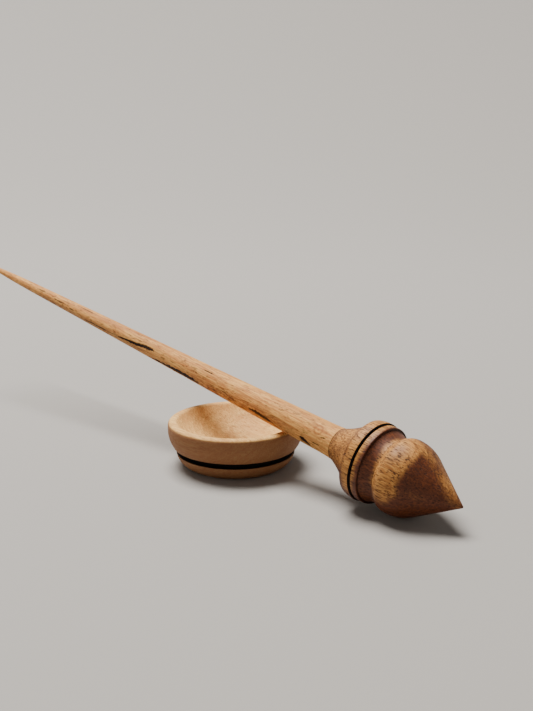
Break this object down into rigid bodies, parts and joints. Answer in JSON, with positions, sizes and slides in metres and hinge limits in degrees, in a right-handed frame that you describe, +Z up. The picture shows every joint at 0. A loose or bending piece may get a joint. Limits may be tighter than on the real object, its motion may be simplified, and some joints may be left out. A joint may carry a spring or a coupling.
{
  "type": "support spindle",
  "caption": "Turned two-wood support spindle with a pointed bulb, ringed whorl and long tapered shaft, lying across the rim of its small wooden spinning bowl.",
  "frame": {"origin": "centre of the bowl's foot, on the surface it stands on", "axes": "+Z up; +X is the direction, seen from above, from the shaft's far tip to the point of the belly"},
  "size_m": [0.2863, 0.055, 0.06],
  "materials": {
    "shaft_wood": "pale spalted hardwood, fine lengthwise grain with dark flecks, satin oil finish",
    "belly_wood": "brown open-pored hardwood, polished, with burnt lines between the rings",
    "bowl_wood": "pale fine-grained hardwood, smooth satin finish, burnt line above the foot"
  },
  "bodies": {
    "bowl": {"support_bowl": "bowl_wood"},
    "spindle": {"spindle_belly": "belly_wood", "spindle_shaft": "shaft_wood"}
  },
  "joints": [
    {"name": "spindle_spin", "type": "hinge", "parent": "bowl", "child": "spindle", "pos_m": [0.10874, 0.003, 0.01008], "axis": [0.9858, 0, -0.1681], "continuous": true}
  ]
}
